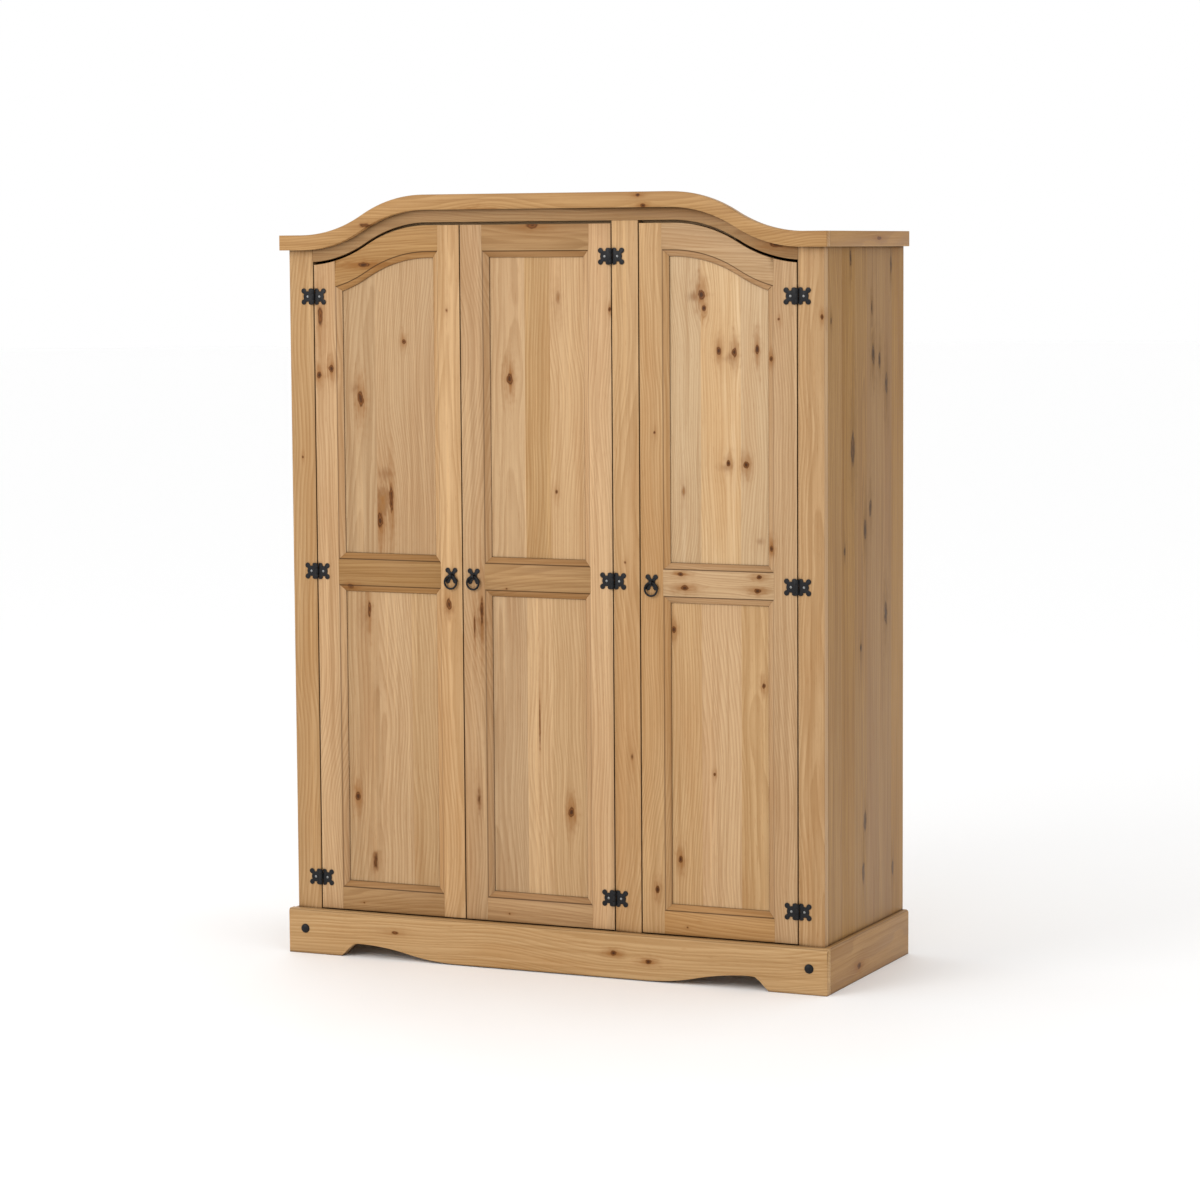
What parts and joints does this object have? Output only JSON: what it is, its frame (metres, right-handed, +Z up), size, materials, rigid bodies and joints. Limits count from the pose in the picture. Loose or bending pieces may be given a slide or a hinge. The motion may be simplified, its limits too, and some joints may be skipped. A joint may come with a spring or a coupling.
{
  "type": "wardrobe",
  "caption": "Tall free-standing wooden wardrobe with an arched cornice, framed panel doors on surface hinges, iron ring pulls, a hanging space and a shelved bay.",
  "frame": {"origin": "centre of the bounding box in plan, on the floor", "axes": "+Z up; the doors face -Y; +X is to the right of someone facing the doors"},
  "size_m": [1.45, 0.575, 1.896],
  "materials": {
    "pine_frame": "waxed antique pine, vertical grain",
    "pine_rail": "waxed antique pine, horizontal grain",
    "pine_panel": "waxed antique pine, glued staves",
    "pine_inner": "plain pine",
    "black_iron": "black lacquered iron",
    "screw_steel": "bright zinc",
    "rail_chrome": "polished",
    "catch_plastic": "satin"
  },
  "bodies": {
    "carcass": {"side_left": "pine_frame", "side_right": "pine_frame", "stile_left": "pine_frame", "stile_right": "pine_frame", "centre_post": "pine_frame", "bottom_rail": "pine_rail", "fascia": "pine_rail", "head_stop": "pine_inner", "cornice_front": "pine_rail", "cornice_sides": "pine_rail", "plinth_front": "pine_rail", "plinth_sides": "pine_rail", "plinth_studs": "black_iron", "top_board": "pine_inner", "floor_board": "pine_inner", "floor_bearers": "pine_inner", "partition": "pine_inner", "back_boards": "pine_inner", "top_shelf": "pine_inner", "bay_shelves": "pine_inner", "shelf_cleats": "pine_inner", "hanging_rail": "rail_chrome", "rail_sockets": "rail_chrome", "frame_hinge_leaves": "black_iron", "hinge_pins": "black_iron", "frame_screws": "screw_steel", "door_catches": "catch_plastic"},
    "door_left": {"door_left_hinge_stile": "pine_frame", "door_left_lock_stile": "pine_frame", "door_left_top_rail": "pine_rail", "door_left_middle_rail": "pine_rail", "door_left_bottom_rail": "pine_rail", "door_left_upper_panel": "pine_panel", "door_left_lower_panel": "pine_panel", "door_left_hinge_leaves": "black_iron", "door_left_fixings": "screw_steel", "door_left_pull_plate": "black_iron"},
    "door_middle": {"door_middle_hinge_stile": "pine_frame", "door_middle_lock_stile": "pine_frame", "door_middle_top_rail": "pine_rail", "door_middle_middle_rail": "pine_rail", "door_middle_bottom_rail": "pine_rail", "door_middle_upper_panel": "pine_panel", "door_middle_lower_panel": "pine_panel", "door_middle_hinge_leaves": "black_iron", "door_middle_fixings": "screw_steel", "door_middle_pull_plate": "black_iron"},
    "door_right": {"door_right_hinge_stile": "pine_frame", "door_right_lock_stile": "pine_frame", "door_right_top_rail": "pine_rail", "door_right_middle_rail": "pine_rail", "door_right_bottom_rail": "pine_rail", "door_right_upper_panel": "pine_panel", "door_right_lower_panel": "pine_panel", "door_right_hinge_leaves": "black_iron", "door_right_fixings": "screw_steel", "door_right_pull_plate": "black_iron"},
    "ring_left": {"door_left_pull_ring": "black_iron"},
    "ring_middle": {"door_middle_pull_ring": "black_iron"},
    "ring_right": {"door_right_pull_ring": "black_iron"}
  },
  "joints": [
    {"name": "door_left_hinge", "type": "hinge", "parent": "carcass", "child": "door_left", "pos_m": [-0.6425, -0.2627, 0.966], "axis": [0, 0, -1], "range_deg": [0, 110]},
    {"name": "door_middle_hinge", "type": "hinge", "parent": "carcass", "child": "door_middle", "pos_m": [0.16683, -0.2627, 0.966], "axis": [0, 0, 1], "range_deg": [0, 110]},
    {"name": "door_right_hinge", "type": "hinge", "parent": "carcass", "child": "door_right", "pos_m": [0.6425, -0.2627, 0.966], "axis": [0, 0, 1], "range_deg": [0, 110]},
    {"name": "ring_left_swing", "type": "hinge", "parent": "door_left", "child": "ring_left", "pos_m": [-0.26833, -0.2651, 0.966], "axis": [-1, 0, 0], "range_deg": [0, 170]},
    {"name": "ring_middle_swing", "type": "hinge", "parent": "door_middle", "child": "ring_middle", "pos_m": [-0.20733, -0.2651, 0.966], "axis": [-1, 0, 0], "range_deg": [0, 170]},
    {"name": "ring_right_swing", "type": "hinge", "parent": "door_right", "child": "ring_right", "pos_m": [0.26833, -0.2651, 0.966], "axis": [-1, 0, 0], "range_deg": [0, 170]}
  ]
}
